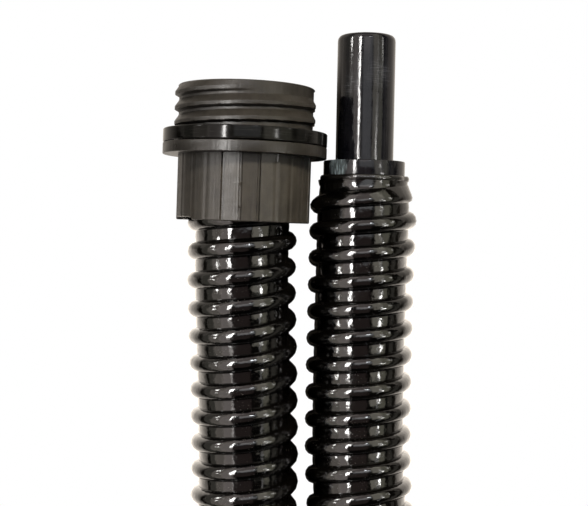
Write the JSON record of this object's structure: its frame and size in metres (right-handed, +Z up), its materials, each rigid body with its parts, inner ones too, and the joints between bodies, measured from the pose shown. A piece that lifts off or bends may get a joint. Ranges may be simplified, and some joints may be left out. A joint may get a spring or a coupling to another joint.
{
  "type": "vacuum hose",
  "caption": "Ribbed flexible vacuum hose, coiled, with a swivelling threaded coupling at one end and a smooth plain tube in a collar at the other.",
  "frame": {"origin": "on the ground, under the middle of the two end fittings, leaving out the hose and its ties", "axes": "+Z up from the ground; +Y along the coupling's axis, out of its threaded mouth; +X from the coupling towards the tube end"},
  "size_m": [0.55, 0.8962, 0.1044],
  "materials": {
    "coupling_plastic": "matte warm dark grey moulded plastic",
    "washer_rubber": "smooth glossy black rubber",
    "tail_plastic": "satin black moulded plastic",
    "seal_rubber": "satin black rubber",
    "slip_plastic": "natural white low-friction plastic",
    "ring_steel": "plain stainless steel",
    "hose_plastic": "glossy black flexible plastic",
    "tube_plastic": "glossy black plastic, lightly scuffed",
    "sealant": "glossy black sealant",
    "tie_webbing": "black woven hook-and-loop strap"
  },
  "bodies": {
    "hose": {"hose_tail": "tail_plastic", "snap_ring": "ring_steel", "slip_washer": "slip_plastic", "swivel_o_ring": "seal_rubber", "hose_cuff_end": "hose_plastic", "hose_leg_cuff": "hose_plastic", "hose_coil": "hose_plastic", "hose_leg_tube": "hose_plastic", "hose_tube_end": "hose_plastic", "end_collar": "tube_plastic", "tube_stub": "tube_plastic", "sealant_bead": "sealant", "coil_tie_1": "tie_webbing", "coil_tie_2": "tie_webbing"},
    "coupling": {"cuff_body": "coupling_plastic", "sealing_washer": "washer_rubber"}
  },
  "joints": [
    {"name": "coupling_swivel", "type": "hinge", "parent": "hose", "child": "coupling", "pos_m": [-0.0195, -0.033, 0.0373], "axis": [0, 1, 0], "continuous": true}
  ]
}
